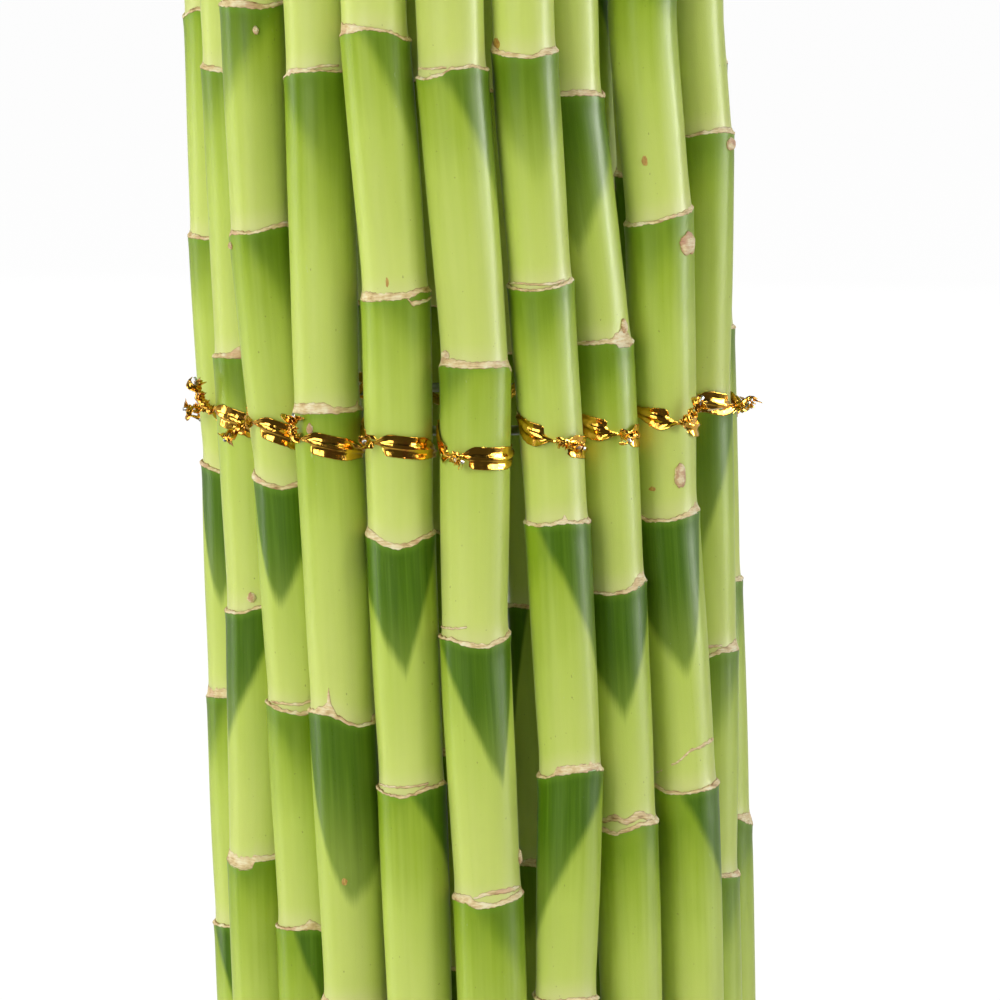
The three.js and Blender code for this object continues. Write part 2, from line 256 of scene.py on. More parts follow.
# What the eleven canes in front show, from the left. Each knuckle in view has its height, its scar as points
# of (bearing, underside, top), the dark wedge under it as (bearing of the tip, depth, spread to the left, to
# the right, strength), and any second lines of the scar. A spread under 0 makes that side bulge. Bearings
# are degrees from the viewer's side, positive to the right. Heights and depths are mm, and a scar's are from
# its knuckle's own height.
FRONT_MARKS = {
    1: [
        (168, [(-90, .3, 1.3), (-18, .1, .6), (90, -.3, .2)],
         (-60, 10, 60, 90, .35)),
        (129, [(-90, 1.6, 2.1), (-55, 1.1, 1.7), (-18, .4, 1), (90, -.2, .4)],
         (-25, 22, -60, 75, 1)),
        (92, [(-90, -.8, 1.3), (-60, -.6, 1.2), (-20, -.3, 1.4), (90, 0, .5)],
         (-65, 12, 30, 55, .65)),
        (52, [(-90, .6, 1.2), (-30, .8, 1.3), (90, 0, .5)],
         (15, 24, 85, 100, 1)),
    ],
    2: [
        (197, [(-90, -.3, .6), (-14, -.9, 0), (60, -.4, .2)],
         (-55, 10, 50, 70, .5)),
        (150, [(-85, -.5, .1), (-30, -.2, .7), (-7, -.2, 1.8), (5, -.2, 2.3), (60, 0, .6)],
         (20, 14, 110, 60, .55)),
        (108, [(-80, -.4, .2), (-31, -.3, .2), (9, .9, 1.3), (70, .4, .9)],
         (-72, 22, 30, 135, 1)),
        (66, [(-80, 0, 1.8), (-55, -.7, 1.6), (-30, -1.1, 1.5), (-12, -.8, 1.7), (-6, .5, 1.6),
              (33, .8, 1.7), (90, .2, .8)],
         (30, 9, 90, 80, .3)),
    ],
    3: [
        (171, [(-88, -1.1, .5), (-60, -.3, .3), (-20, -.1, .4), (26, .9, 1.5), (40, 1.1, 2),
               (90, .8, 1.3)],
         (38, 15, 75, 60, .62)),
        (130, [(-85, 1.2, 2.4), (-64, .7, 1.6), (-32, .1, .8), (-8, -.4, .3), (23, .3, 1), (60, .6, 1.2)],
         (-20, 19.2, -60, 120, 1)),
        (93, [(-66, .9, 1.4), (-28, .1, .6), (4, -.4, .2), (35, .2, .7), (80, .8, 1.3)],
         (10, 11, 110, 100, .45),
         [(-60, 1.3, 1.6), (-28, 1.3, 1.7), (4, 1.2, 1.6), (33, 1.9, 2.6)]),
        (56, [(-66, .6, 1.1), (-27, .8, 1.3), (-5, 1, 2), (4, 1.1, 2.8), (30, .6, 1.4), (90, 0, .6)],
         (60, 24, 90, 60, 1)),
    ],
    4: [
        (197, [(-88, -1.2, -.6), (-60, -.5, .6), (-40, 0, .8), (-10, .2, .8), (0, .3, .6), (40, .1, .5),
               (90, -.2, .3)],
         (80, 30, 170, 60, .62),
         [(-20, .6, .9), (10, 1, 1.4), (40, 1, 1.4)]),
        (143, [(-88, -.4, 1.4), (-40, -.1, 1.6), (-8, .1, 1.9), (15, .1, 1.2), (40, .2, 1.1),
               (62, .3, 1.2), (68, .3, 2), (74, .2, .9), (110, 0, .5)],
         (45, 8, 90, 60, .4)),
        (93, [(-60, 1.2, 1.9), (-37, 1.3, 2.6), (-27, 1.2, 3.2), (-23, 1.2, 6), (-19, 1.1, 3),
              (-9, .7, 1.5), (12, -.3, .3), (33, -.8, -.2), (60, -.6, 0), (67, -.6, .9), (100, 0, .6)],
         (4, 29.8, -95, 250, .95)),
    ],
    5: [
        (203, [(-88, -.1, 2.2), (-40, .6, 2), (-13, 1.1, 1.6), (18, .8, 1.3), (60, -.7, 0),
               (90, -.9, -.2)],
         (75, 21, 100, 90, .72)),
        (162, [(-88, -.8, 1.1), (-60, -.8, .9), (-36, -.6, .8), (-8, -.4, .9), (23, -.1, 1),
               (44, .7, 1.5), (85, .6, 1.6), (120, 0, .6)],
         (62, 13, 100, 80, .5),
         [(20, -.2, .1), (30, -1.4, -.5), (44, -1.1, -.5), (60, -.8, -.3), (86, -.3, .3)]),
        (123, [(-88, .6, 2), (-66, .4, 1.9), (-47, .2, 1.3), (-25, -.7, .3), (-5, -1.1, -.2),
               (16, -.7, .1), (42, .4, 1), (85, .9, 1.7), (140, 0, .6)],
         (0, 20.6, 150, 82, 1)),
        (82, [(-80, .4, .8), (-48, 0, .4), (-17, -.4, .1), (0, 0, .4), (33, 1, 1.5), (70, 1.3, 2),
              (120, .2, .8)],
         (95, 18, 96, 60, 1),
         [(-70, 1.1, 1.4), (-48, 1.1, 1.4), (-17, 1.2, 1.5), (0, 1.3, 1.7), (33, 1.8, 2.1)]),
    ],
    6: [
        (198, [(-88, -1.7, -1.1), (-51, -1.8, -1.2), (-21, -1.1, -.5), (0, 0, .5), (35, .3, .9),
               (75, -.4, .1), (120, -.2, .4)],
         (80, 22, 100, 90, .8),
         [(-85, -.3, .4), (-60, -.1, .3), (-30, 0, .4), (-8, .3, .8)]),
        (151, [(-88, -.5, .9), (-70, 0, 2.4), (-60, .2, 1.9), (-34, .1, 1.4), (5, .1, 1.1),
               (46, .1, 1.2), (68, -.2, 1.4), (77, -1, 1.7), (86, -.9, .8), (120, -.2, .5)],
         (-75, 10, 30, 75, .6)),
        (107, [(-88, .5, .9), (-43, .6, 1.1), (-7, -.3, .4), (18, -.5, .2), (48, .2, .9), (85, 1.2, 2),
               (130, .4, .9)],
         (38, 23, 115, 50, 1),
         [(-85, 2.1, 2.4), (-43, 2.3, 2.6), (-12, 2.7, 2.9)]),
        (65, [(-85, .2, 1.2), (-38, .2, 1.5), (-19, -.6, .6), (8, -.3, .5), (38, .4, 1.2), (85, 1, 2.2),
              (130, .2, .8)],
         (80, 17, 100, 80, .6),
         [(-25, 1, 1.7), (8, 1.7, 2.4), (38, 1.9, 2.7), (75, 2.2, 2.9)]),
    ],
    7: [
        (200, [(-88, .7, 2.4), (-60, .2, 1), (-24, -.2, .5), (12, -.4, .2), (38, .1, 1.2), (85, .5, 1.5),
               (130, .2, .7)],
         (10, 21, 150, 130, .62)),
        (163, [(-85, .2, .8), (-43, 0, .4), (-10, -.1, .3), (24, .4, .8), (55, .9, 1.5), (80, 1.2, 2.2)],
         (-20, 11, 120, 100, .4),
         [(-80, .8, 1.1), (-43, 1, 1.3), (-10, .9, 1.2), (24, 1, 1.3), (50, 1.4, 1.9)]),
        (126, [(-88, -.5, .2), (-39, -.6, 0), (-7, -.2, .4), (8, 0, .7), (14, 0, 1.4), (20, 0, .6),
               (30, -.1, .5), (85, -.4, .5), (130, 0, .5)],
         (95, 27, 135, 60, .95)),
        (85, [(-85, -.5, .5), (-49, -.2, .2), (-32, .3, .8), (-25, .5, 2.1), (10, 1, 2.3),
              (36, 1.1, 2.4), (42, 1.2, 3), (50, 1.1, 2.5), (80, .6, 1.8), (130, 0, .6)],
         (-85, 28, 60, 180, 1)),
    ],
    8: [
        (194, [(-50, -.6, .1), (-19, -.8, 0), (12, -.7, .3), (44, -.8, .2), (75, -1.2, -.6),
               (120, -.4, .3)],
         (-20, 25, 160, 160, .85)),
        (154, [(-51, -.5, .1), (-14, -.3, .4), (16, -.1, .7), (27, -.2, 1), (31, -.8, 1.5),
               (48, -.9, 2.2), (53, -.8, 3.5), (58, -.8, 2), (80, -.4, .4), (120, 0, .6)],
         (-30, 10, 90, 120, .42)),
        (114, [(-60, -.3, .2), (-37, -.4, 0), (-12, -.6, -.1), (22, -.3, .3), (38, .2, 1.2),
               (48, .6, 2.4), (75, 1.2, 3.1), (90, 1, 2), (130, 0, .7)],
         (8, 20.3, 140, 100, 1)),
        (76, [(-60, -1, -.2), (-42, -1.2, -.5), (-22, -1.6, -1), (0, -1, -.4), (27, -.1, .5),
              (72, -.2, .9), (120, 0, .7)],
         (85, 13, 60, 60, .45),
         [(-60, .2, 1), (-42, .3, 1.1), (-22, .8, 1.9), (0, .2, 1.1), (27, 1, 2.5), (50, .7, 1.6),
          (75, .3, 1)]),
    ],
    9: [
        (173, [(-85, -1.2, -.1), (-56, -1.2, -.5), (-10, -.5, .1), (29, .6, 1.1), (60, 1, 1.7),
               (88, 1.7, 2.6), (130, .4, 1)],
         (-20, 10, 90, 90, .42)),
        (125, [(-70, -.2, .4), (-51, -.3, .3), (-33, -.8, -.2), (0, -.7, -.2), (35, -.1, .6),
               (60, .3, 1.6), (68, .4, 2.4), (85, .5, 1.9), (130, 0, .6)],
         (12, 25, 190, -62, 1)),
        (82, [(-60, -1.6, -.9), (-34, -2.2, -1.6), (-3, -2.2, -1.8), (27, -1.8, -1.3), (80, -1.3, -.4),
              (130, -1, -.4)],
         (90, 19, 100, 60, .97),
         [(-62, .8, 1.3), (-42, 1.3, 1.9), (-16, 2.7, 3.1), (16, 4.9, 5.4), (58, 5.8, 6.4),
          (80, 6, 6.7)]),
    ],
    10: [
        (186, [(-40, -.4, .1), (-19, -.3, .1), (0, .2, .7), (40, .4, 1.3), (85, -.1, 1), (130, 0, .5)],
         (-20, 9, 90, 90, .35)),
        (141, [(-40, -.3, 0), (-10, -.2, .1), (33, .3, .6), (90, .3, .7)],
         (-8, 24, 90, 96, .85),
         [(-30, .5, .7), (-10, .6, .9), (20, .6, .9)]),
        (101, [(-40, -.2, .3), (0, -.7, -.1), (12, -.2, .4), (30, .2, 1.1), (80, .1, 2), (120, 0, .7)],
         (-20, 20, 120, 120, .6),
         [(-40, .8, 1.2), (0, 1.1, 1.5), (30, 1.2, 1.6)]),
        (64, [(0, -.2, .4), (20, -.2, .6), (42, -.3, .5), (85, -.7, .3), (130, 0, .5)],
         (-10, 18, 120, 120, .5)),
    ],
    11: [
        (153, [(28, .2, .7), (85, 0, .6)],
         (60, 10, 90, 90, .5)),
        (111, [(0, .1, .6), (60, 0, .8), (100, 0, .5)],
         (-20, 22, 120, 130, .6)),
        (71, [(0, .3, .8), (28, .4, 1), (55, -.8, 1.1), (85, -1.5, 1), (120, 0, .5)],
         (-30, 20, 120, 140, .6)),
    ],
}


def around(points, bearing, column):
    """The value of one column of a round list of (bearing, ...) points at a bearing, eased between them."""
    previous = (points[-1][0] - 360, *points[-1][1:])
    for point in [*points, (points[0][0] + 360, *points[0][1:])]:
        if bearing <= point[0]:
            step = (bearing - previous[0]) / (point[0] - previous[0])
            step = 0.5 * step + 0.5 * step * step * (3 - 2 * step)
            return previous[column] + (point[column] - previous[column]) * step
        previous = point
    return previous[column]


def ease(value, low, high):
    """0 under low, 1 over high, smooth between."""
    step = min(1, max(0, (value - low) / (high - low)))
    return step * step * (3 - 2 * step)


def cad_rings(node):
    """The height, middle and radius of each ring of a CAD cane, from its foot up, in mm."""
    levels = {}
    for vertex in node.data.vertices:
        level = levels.setdefault(round(vertex.co.z / MM, 2), set())
        level.add((round(vertex.co.x / MM, 3), round(vertex.co.y / MM, 3)))
    rings = []
    for height in sorted(levels):
        points = [Vector(point) for point in levels[height]]
        middle = sum(points, Vector((0, 0))) / len(points)
        rings.append((height, middle, max((point - middle).length for point in points)))
    return rings


def knuckle_rings(rings):
    """The rings of a CAD cane that stand out from their neighbours, from the lowest up."""
    return [ring for low, ring, high in zip(rings, rings[1:], rings[2:]) if ring[2] > max(low[2], high[2])]


def own_marks(draw, height):
    """A seeded scar and wedge for a knuckle that the photograph does not show."""
    scar = []
    for bearing in (-150, -90, -35, 20, 75, 140):
        under = draw.uniform(-0.8, 0.8)
        scar.append((bearing + draw.uniform(-18, 18), under, under + draw.choice((0.4, 0.5, 0.7, 1.4))))
    wedge = (draw.uniform(-180, 180), draw.uniform(10, 27), draw.uniform(45, 150), draw.uniform(45, 150),
             draw.choice((0.4, 0.7, 1, 1)))
    return (height, scar, wedge)


def wedge_depth(wedge, bearing):
    """How far down from the scar the dark wedge reaches at a bearing, in mm."""
    tip, depth, left, right, strength = wedge
    turn = (bearing - tip + 180) % 360 - 180
    spread = right if turn > 0 else left
    bulging, share = spread < 0, abs(turn / spread)
    if share >= 1:
        return -2 - (share - 1) * 4
    if bulging:
        return depth * (1 - share ** 2)
    return depth * (1 - share)


def skin_radius(radius, below, above, internode):
    """The cane's radius, from the distances to the scar over it and to the scar under it."""
    share = above / internode
    swell = -NECK + (NECK + SWELL) * (1 - (1 - min(1, share)) ** 2.2)
    flare = (RIM - SWELL) * (1 - ease(below, 0, FLARE_LENGTH)) ** 2
    return radius + swell + flare + LIP * math.exp(-above / LIP_LENGTH)


def cane_profile(radius, foot, crown, knuckles):
    """The outline of a cane from the middle of its foot to the middle of its crown."""
    outline = [(0, foot), (radius * 0.5, foot), (radius - 0.5, foot), (radius - 0.1, foot + 0.15)]
    bounds = [foot, *knuckles, crown]
    for index in range(len(bounds) - 1):
        low, high = bounds[index], bounds[index + 1]
        length = high - low
        rows = [0.14, 0.32, 0.6, 1, 1.7, 2.7, 4.2, 6.5] if index else [0.6, 2, 5]
        rows = [row for row in rows if row < length * 0.5]
        last = index == len(bounds) - 2
        ends = [0.3, 1, 3] if last else [0, 0.18, 0.45, 0.9, 1.6, 2.6, 4.2, 6.5]
        ends = sorted(length - row for row in ends if row < length * 0.5)
        middle = max(0, int((ends[0] - rows[-1]) / 4))
        for step in range(1, middle + 1):
            rows.append(rows[-1] + (ends[0] - rows[-1]) / (middle + 2 - step))
        for row in [*rows, *ends]:
            outline.append((radius, low + row))
    return [*outline, (radius - 0.35, crown), (radius * 0.5, crown - 0.12), (0, crown - 0.2)]


# How far some canes bow to the right (or left, under 0) between their ends: (height, mm).
BOWS = {
    1: [(60, 0), (100, 0.4), (168, 0.2), (200, 1), (208, 1), (224, 0)],
    2: [(30, 0), (80, 0.3), (130, 0.3), (150, 0)],
    3: [(30, 0), (80, 0.3), (130, 0.3), (150, 0)],
    4: [(20, 0), (60, 0.5), (120, 0.5), (150, 0)],
    9: [(173, 0), (203, -1.8), (208, -1.8), (224, 0)],
    10: [(150, 0), (186, 0.2), (208, -1), (230, 0)],
    15: [(150, 0), (180, -0.6), (215, -0.6), (235, 0)],
    16: [(150, 0), (180, -1), (200, -1.7), (215, -1.7), (235, 0)],
}


def cane_axis(rings, number):
    """A cane's middle at every quarter of a mm: straight between knuckles, softly bent at each."""
    bows = [(-1, 0), *BOWS.get(number, []), (300, 0)]
    line, upper = [], 1
    for step in range(int((rings[-1][0] + 6) * AXIS_STEPS)):
        level = min(max(step / AXIS_STEPS, rings[0][0]), rings[-1][0])
        while rings[upper][0] < level:
            upper += 1
        low, high = rings[upper - 1], rings[upper]
        bow = next(left[1] + (right[1] - left[1]) * (level - left[0]) / (right[0] - left[0])
                   for left, right in zip(bows, bows[1:]) if level <= right[0])
        line.append(low[1].lerp(high[1], (level - low[0]) / (high[0] - low[0])) + Vector((bow, 0)))
    softened = []
    for step in range(len(line)):
        near = line[max(0, step - 20):step + 21]
        softened.append(sum(near, Vector((0, 0))) / len(near))
    return softened


def spin_round(bm, outline, steps, closed):
    """Spins an outline of (radius, height) points, in mm, into a ring or a closed body."""
    corners = [bm.verts.new((radius, 0, height)) for radius, height in outline]
    edges = [bm.edges.new(pair) for pair in zip(corners, corners[1:])]
    if closed:
        edges.append(bm.edges.new((corners[-1], corners[0])))
    bmesh.ops.spin(bm, geom=[*corners, *edges], axis=(0, 0, 1), cent=(0, 0, 0), dvec=(0, 0, 0),
                   angle=2 * math.pi, steps=steps, use_merge=True, use_duplicate=False)
    bmesh.ops.remove_doubles(bm, verts=bm.verts, dist=0.0005)


def bearing_of(x, y):
    """The bearing of a point round its cane, in degrees from the viewer's side, positive to the right."""
    return math.degrees(math.atan2(x, -y))


# The skin: pale yellow-green where it was sheathed, fresh green higher up, dark green in the wedge.
skin, nodes, links = new_material("cane_skin")
calc, ranged, mixed, read, grain, ramped, bumped, paint = node_maker(skin)
place = read("place", True)
below, above = read("below"), read("above")
tone = read("tone")
streaks = grain(place, 1.1, 3, (1, 1, 0.03))
fine_streaks = grain(place, 4.5, 2, (1, 1, 0.015), (40, 0, 0))
clouds = grain(place, 0.12, 2, (1, 1, 0.5), (9, 3, 0))
share = calc("DIVIDE", below, calc("MAXIMUM", calc("ADD", below, above), 0.01))
share = calc("ADD", share, calc("MULTIPLY", calc("SUBTRACT", streaks, 0.5), 0.22))
share = calc("ADD", share, calc("MULTIPLY", calc("SUBTRACT", tone, 0.5), 0.35))
share = calc("ADD", share, calc("MULTIPLY", calc("SUBTRACT", clouds, 0.5), 0.3))
colour = ramped(share, [
    (0.0, (0.235, 0.36, 0.015)), (0.15, (0.33, 0.455, 0.035)),
    (0.45, (0.48, 0.6, 0.095)), (1.0, (0.6, 0.69, 0.165)),
])
edge_wander = calc("MULTIPLY", calc("SUBTRACT", grain(place, 0.35, 3, (1, 1, 0.4), (5, 5, 5)), 0.5), 1.6)
edge_fibres = calc("MULTIPLY", calc("SUBTRACT", fine_streaks, 0.5), 1.3)
inside = calc("ADD", calc("ADD", read("wedge"), edge_wander), edge_fibres)
darkness = read("darkness")
softness = ranged(darkness, 0.5, 0.95, 4.4, 1.9)
wedge = ranged(calc("DIVIDE", inside, softness), -0.8, 1.2)
wedge = calc("MULTIPLY", wedge, ranged(darkness, 0, 1, 0, 0.97, False))
wedge = calc("MULTIPLY", wedge, ranged(below, 6, 26, 1, 0.68))
soft_fade = ranged(below, 0, 26, 1, 0.25)
weak = calc("MULTIPLY", wedge, soft_fade)
wedge = calc("ADD", calc("MULTIPLY", wedge, ranged(darkness, 0.6, 0.9)),
             calc("MULTIPLY", weak, ranged(darkness, 0.9, 0.6)))
dark_green = ramped(calc("ADD", calc("MULTIPLY", streaks, 0.7), calc("MULTIPLY", fine_streaks, 0.3)), [
    (0.3, (0.046, 0.12, 0.001)), (0.5, (0.066, 0.152, 0.002)), (0.7, (0.095, 0.2, 0.006)),
])
colour = mixed(wedge, colour, dark_green)
bleached = calc("MULTIPLY", ranged(above, 0, 4.5, 0.75, 0), ranged(above, -0.2, 0.1))
colour = mixed(bleached, colour, (0.66, 0.68, 0.26, 1))
# Painted contact shade: a thin band of darker green painted on the skin just under each scar, where the scar
# meets it.
contact_shade = ranged(below, 0, 1.6, 0.35, 0)
colour = mixed(contact_shade, colour, (0.17, 0.36, 0.02, 1))
flecks = ranged(grain(place, 2.1, 1, (1, 1, 0.6), (77, 0, 0)), 0.775, 0.8)
colour = mixed(calc("MULTIPLY", flecks, 0.55), colour, (0.16, 0.17, 0.03, 1))
scuffs = ranged(grain(place, 0.8, 5, (1.6, 1.6, 0.5), (0, 61, 0), 0.8), 0.655, 0.72)
scuffs = calc("MULTIPLY", scuffs, ranged(grain(place, 0.1, 1, (1, 1, 0.4), (0, 0, 33)), 0.5, 0.62))
colour = mixed(calc("MULTIPLY", scuffs, 0.35), colour, (0.52, 0.6, 0.4, 1))
pits = grain(place, 7, 2, (1, 1, 0.8), (0, 0, 12))
grittiness = calc("ADD", calc("MULTIPLY", streaks, 0.5), calc("MULTIPLY", pits, 0.5))
relief = bumped(fine_streaks, 0.04, 0.00025, bumped(pits, 0.22, 0.0001))
paint({"Base Color": colour, "Roughness": ranged(grittiness, 0.3, 0.7, 0.27, 0.42), "Normal": relief,
       "Specular IOR Level": 0.28, "Subsurface Weight": 0.1, "Subsurface Radius": (0.9, 1, 0.25),
       "Subsurface Scale": 0.0007})

# The scars: dry torn sheath, fibres running round the cane, cream to brown.
scar_tissue, nodes, links = new_material("leaf_scar")
calc, ranged, mixed, read, grain, ramped, bumped, paint = node_maker(scar_tissue)
place = read("place", True)
fibres = grain(place, 1.2, 4, (0.5, 0.5, 3), (3, 0, 0), 0.65)
blotches = grain(place, 0.45, 3, (1, 1, 1), (0, 21, 0))
shade = calc("ADD", calc("MULTIPLY", fibres, 0.55), calc("MULTIPLY", blotches, 0.5))
colour = ramped(shade, [
    (0.34, (0.3, 0.15, 0.05)), (0.42, (0.58, 0.4, 0.17)),
    (0.52, (0.76, 0.6, 0.3)), (0.64, (0.88, 0.8, 0.52)),
])
pinkish = ranged(grain(place, 0.3, 2, (1, 1, 1), (0, 0, 50)), 0.56, 0.68)
colour = mixed(calc("MULTIPLY", pinkish, 0.5), colour, (0.62, 0.33, 0.2, 1))
on_bud = calc("MULTIPLY", read("rind"), ranged(blotches, 0.38, 0.6, 0.75, 0.1))
colour = mixed(on_bud, colour, (0.5, 0.24, 0.13, 1))
edge = ranged(calc("ADD", read("inward"), calc("MULTIPLY", fibres, 0.24)), 0.11, 0.25, 0.75, 0)
colour = mixed(edge, colour, (0.27, 0.15, 0.035, 1))
paint({"Base Color": colour, "Roughness": 0.75, "Normal": bumped(fibres, 0.5, 0.0003)})

# Healed nicks and spots: thin orange-brown skin.
brown_spot, nodes, links = new_material("brown_spot")
calc, ranged, mixed, read, grain, ramped, bumped, paint = node_maker(brown_spot)
place = read("place", True)
mottle = grain(place, 0.8, 3)
colour = ramped(mottle, [(0.35, (0.42, 0.19, 0.03)), (0.65, (0.6, 0.4, 0.08))])
paint({"Base Color": colour, "Roughness": 0.5, "Normal": bumped(mottle, 0.3, 0.0002)})

# The cut ends: pale wet pith, dotted with the ends of its fibres, under a thin green rind.
cut_pith, nodes, links = new_material("cut_pith")
calc, ranged, mixed, read, grain, ramped, bumped, paint = node_maker(cut_pith)
place = read("place", True)
mottle = grain(place, 0.6, 3, (1, 1, 0.3))
colour = ramped(mottle, [(0.35, (0.6, 0.55, 0.3)), (0.65, (0.78, 0.76, 0.5))])
cells = nodes.new("ShaderNodeTexVoronoi")
cells.inputs["Scale"].default_value = 2.2
links.new(place, cells.inputs["Vector"])
dots = ranged(cells.outputs["Distance"], 0.12, 0.3, 1, 0)
colour = mixed(calc("MULTIPLY", dots, 0.6), colour, (0.3, 0.2, 0.07, 1))
colour = mixed(ranged(read("rind"), 0.86, 0.97), colour, (0.16, 0.3, 0.03, 1))
paint({"Base Color": colour, "Roughness": 0.6, "Normal": bumped(mottle, 0.4, 0.0004)})


def make_piece(bm, name, node_name, materials):
    """Turns a bmesh, in mm, into a piece that stands for a CAD node."""
    bmesh.ops.scale(bm, vec=(MM, MM, MM), verts=bm.verts)
    bmesh.ops.recalc_face_normals(bm, faces=bm.faces)
    mesh = bpy.data.meshes.new(name)
    bm.to_mesh(mesh)
    bm.free()
    for material in materials:
        mesh.materials.append(material)
    mesh.polygons.foreach_set("use_smooth", [True] * len(mesh.polygons))
    piece = bpy.data.objects.new(name, mesh)
    scene.collection.objects.link(piece)
    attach(piece, "root")
    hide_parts(node_name)
    return piece


def pour_in(bm, part):
    """Adds a finished part to a piece's bmesh and frees it."""
    mesh = bpy.data.meshes.new("part")
    part.to_mesh(mesh)
    part.free()
    bm.from_mesh(mesh)
    bpy.data.meshes.remove(mesh)


# Dormant buds and small spots on each cane: where they are (height, bearing), their width and height in mm,
# and their material.
BUDS = {
    2: [(110.6, -9, 1.4, 1.7, SCAR)],
    3: [(203.5, 4, 1, 1.4, SCAR), (168.8, -72, 1.3, 1.2, SCAR)],
    4: [(140.6, -30, 1.1, 1.9, SCAR), (67, -10, 1, 1.2, SPOT)],
    5: [(164.5, -12, 0.5, 1.6, SPOT)],
    6: [(153, -58, 2.2, 1.4, SCAR), (72, 84, 1.5, 2.6, SCAR)],
    7: [(201.8, -66, 2.6, 1.8, SPOT)],
    8: [(156.5, 55, 1.6, 2.2, SCAR)],
    9: [(169.2, 56, 4.4, 3.8, SCAR), (131.8, 28, 2.1, 4.2, SCAR), (129.6, -24, 1.3, 0.8, SPOT),
        (182.6, -18, 1, 1.6, SPOT)],
    10: [(184.5, 62, 3, 1.9, SCAR)],
}

# Every scar is bent from this plain ring, whose heights are shares of the scar's own.
ring_bm = bmesh.new()
spin_round(ring_bm, [(9, -0.2), (10, 0.0), (10, 0.3), (10, 0.7), (10, 1.0), (9, 1.1)], SCAR_COLUMNS, True)
plain_ring = bpy.data.meshes.new("plain_ring")
ring_bm.to_mesh(plain_ring)
ring_bm.free()

# How pale the front canes are, 0 fresh green to 1 pale: first under the lowest knuckle above, then upwards.
TONES = {
    1: (0.5, 0.5, 0.6, 0.7, 0.45), 2: (0.45, 0.7, 0.7, 0.55, 0.7), 3: (0.3, 0.25, 0.5, 0.45, 0.45),
    4: (0.5, 0.75, 0.35, 0.7), 5: (0.35, 0.45, 0.6, 0.7, 0.75), 6: (0.35, 0.7, 0.75, 0.75, 0.8),
    7: (0.2, 0.2, 0.45, 0.4, 0.6), 8: (0.25, 0.4, 0.4, 0.2, 0.5), 9: (0.2, 0.5, 0.5, 0.6),
    10: (0.3, 0.4, 0.3, 0.35, 0.5), 11: (0.35, 0.35, 0.35, 0.35),
}


def lay_scar(bm, number, radius, axis, knuckle, scar, band, whole):
    """Lays a band of torn tissue on a cane: a knuckle's whole scar, or a second line that ends."""
    ring = bmesh.new()
    ring.from_mesh(plain_ring)
    place = ring.verts.layers.float_vector.new("place")
    inward = ring.verts.layers.float.new("inward")
    gone = []
    shapes = {}
    for vertex in ring.verts:
        x, y, share = vertex.co
        bearing = round(bearing_of(x, y), 1)
        if not whole and not band[0][0] <= bearing <= band[-1][0]:
            gone.append(vertex)
            continue
        length = math.hypot(x, y)
        if bearing not in shapes:
            ragged = Vector((x / length * 5, y / length * 5, number * 7 + knuckle * 0.37 + 50 * whole))
            under, top = around(band, bearing, 1), around(band, bearing, 2)
            if not whole:
                to_end = min(bearing - band[0][0], band[-1][0] - bearing)
                top = under + (top - under) * ease(to_end, -1, 12)
            under -= 0.16 * noise.noise(ragged * 1.9) + 0.08 * noise.noise(ragged * 5)
            top += (0.24 * noise.noise(ragged * 1.4 + Vector((0, 0, 9)))
                    + 0.1 * noise.noise(ragged * 4.5))
            thinnest, proud = (0.2, 0.06) if whole else (0.34, 0.12)
            crest = around(scar, bearing, 1) + CREST
            shapes[bearing] = (under, max(top, under + thinnest), crest,
                               proud + 0.06 * noise.noise(ragged * 3))
        under, top, crest, proud = shapes[bearing]
        share = min(1, max(0, share))
        vertex[inward] = min(share, 1 - share) * (top - under)
        rise = under + (top - under) * share
        over = rise - crest
        if over < 0:
            skin_here = radius + RIM - 0.3 * ease(-over, 0, FLARE_LENGTH)
        else:
            lip_here = LIP * math.exp(-over / LIP_LENGTH)
            skin_here = radius + RIM + (lip_here - NECK - RIM) * ease(over, 0.05, 0.6)
        if length < 9.5:
            wide = skin_here - 0.25
        else:
            wide = skin_here + proud + 0.06 * math.sin(math.pi * share)
        level = knuckle + rise
        middle = axis[round(level * AXIS_STEPS)]
        vertex[place] = (x / length * wide, y / length * wide, level + number * GRAIN_STEP)
        vertex.co = (x / length * wide + middle.x, y / length * wide + middle.y, level)
    if not whole:
        bmesh.ops.delete(ring, geom=gone, context="VERTS")
        bmesh.ops.holes_fill(ring, edges=ring.edges, sides=0)
    for face in ring.faces:
        face.material_index = SCAR
    pour_in(bm, ring)


def raise_bud(bm, number, axis, reach, bud):
    """Raises one dormant bud, or one flat healed spot, on a cane's skin."""
    height, bearing, wide, tall, kind = bud
    turn = math.radians(bearing)
    proud = 0.55 if kind == SCAR else 0.05
    lump = bmesh.new()
    place = lump.verts.layers.float_vector.new("place")
    inward = lump.verts.layers.float.new("inward")
    rind = lump.verts.layers.float.new("rind")
    bmesh.ops.create_uvsphere(lump, u_segments=24, v_segments=14, radius=1)
    for vertex in lump.verts:
        x, y, z = vertex.co
        ragged = (1 + 0.22 * noise.noise(Vector((x * 1.7, z * 1.7, height)))
                  + 0.12 * noise.noise(vertex.co * 4))
        dent = 0.4 * math.exp(-((x * x + (z - 0.2) ** 2) / 0.12)) if kind == SCAR else 0
        around_by = turn + x * ragged * wide / 2 / reach
        out = reach + (0.03 + proud * (-y - dent) if y < 0 else -0.2)
        level = height + z * ragged * tall / 2 * (1 - 0.35 * x * x * (z > 0))
        middle = axis[round(level * AXIS_STEPS)]
        vertex[place] = (x * 2, y * 2, level * 1.5 + number * GRAIN_STEP)
        vertex[inward] = -y * 0.5
        vertex[rind] = 1
        vertex.co = (middle.x + math.sin(around_by) * out, middle.y - math.cos(around_by) * out, level)
    for face in lump.faces:
        face.material_index = kind
    pour_in(bm, lump)


